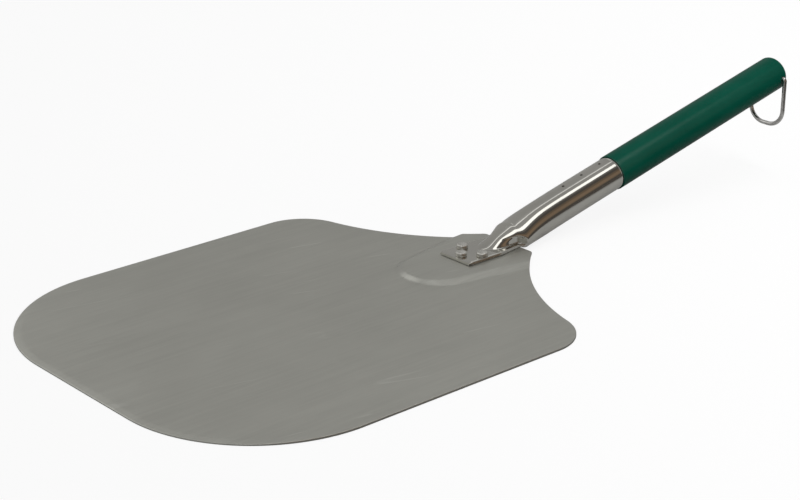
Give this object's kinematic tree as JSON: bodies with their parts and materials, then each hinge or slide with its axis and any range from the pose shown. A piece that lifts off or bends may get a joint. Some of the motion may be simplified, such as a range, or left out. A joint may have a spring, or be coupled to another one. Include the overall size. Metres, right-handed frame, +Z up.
{
  "type": "pizza peel",
  "caption": "Flat sheet-metal pizza peel with rounded corners, stamped neck platform, riveted tube ferrule, painted wooden grip and a swinging wire hanging loop.",
  "frame": {"origin": "plan centre of the blade's flat underside, which rests on z = 0", "axes": "+X across the blade, +Y along the peel from the blade towards the grip, +Z up"},
  "size_m": [0.3048, 0.6734, 0.0893],
  "materials": {
    "blade_aluminium": "matte rolled sheet with fine lengthwise grain",
    "ferrule_steel": "polished tube with fine lengthwise draw lines",
    "rivet_steel": "satin, slightly tarnished",
    "grip_paint": "satin green paint over turned wood",
    "pin_steel": "dull dark nail heads",
    "bail_wire": "bright plated wire"
  },
  "bodies": {
    "peel": {"blade": "blade_aluminium", "ferrule": "ferrule_steel", "rivet_front": "rivet_steel", "rivet_left": "rivet_steel", "rivet_right": "rivet_steel", "grip": "grip_paint", "pin_upper": "pin_steel", "pin_middle": "pin_steel", "pin_lower": "pin_steel"},
    "bail": {"bail": "bail_wire"}
  },
  "joints": [
    {"name": "bail_swing", "type": "hinge", "parent": "peel", "child": "bail", "pos_m": [0, 0.47792, 0.07493], "axis": [1, 0, 0], "range_deg": [-54, 259]}
  ]
}
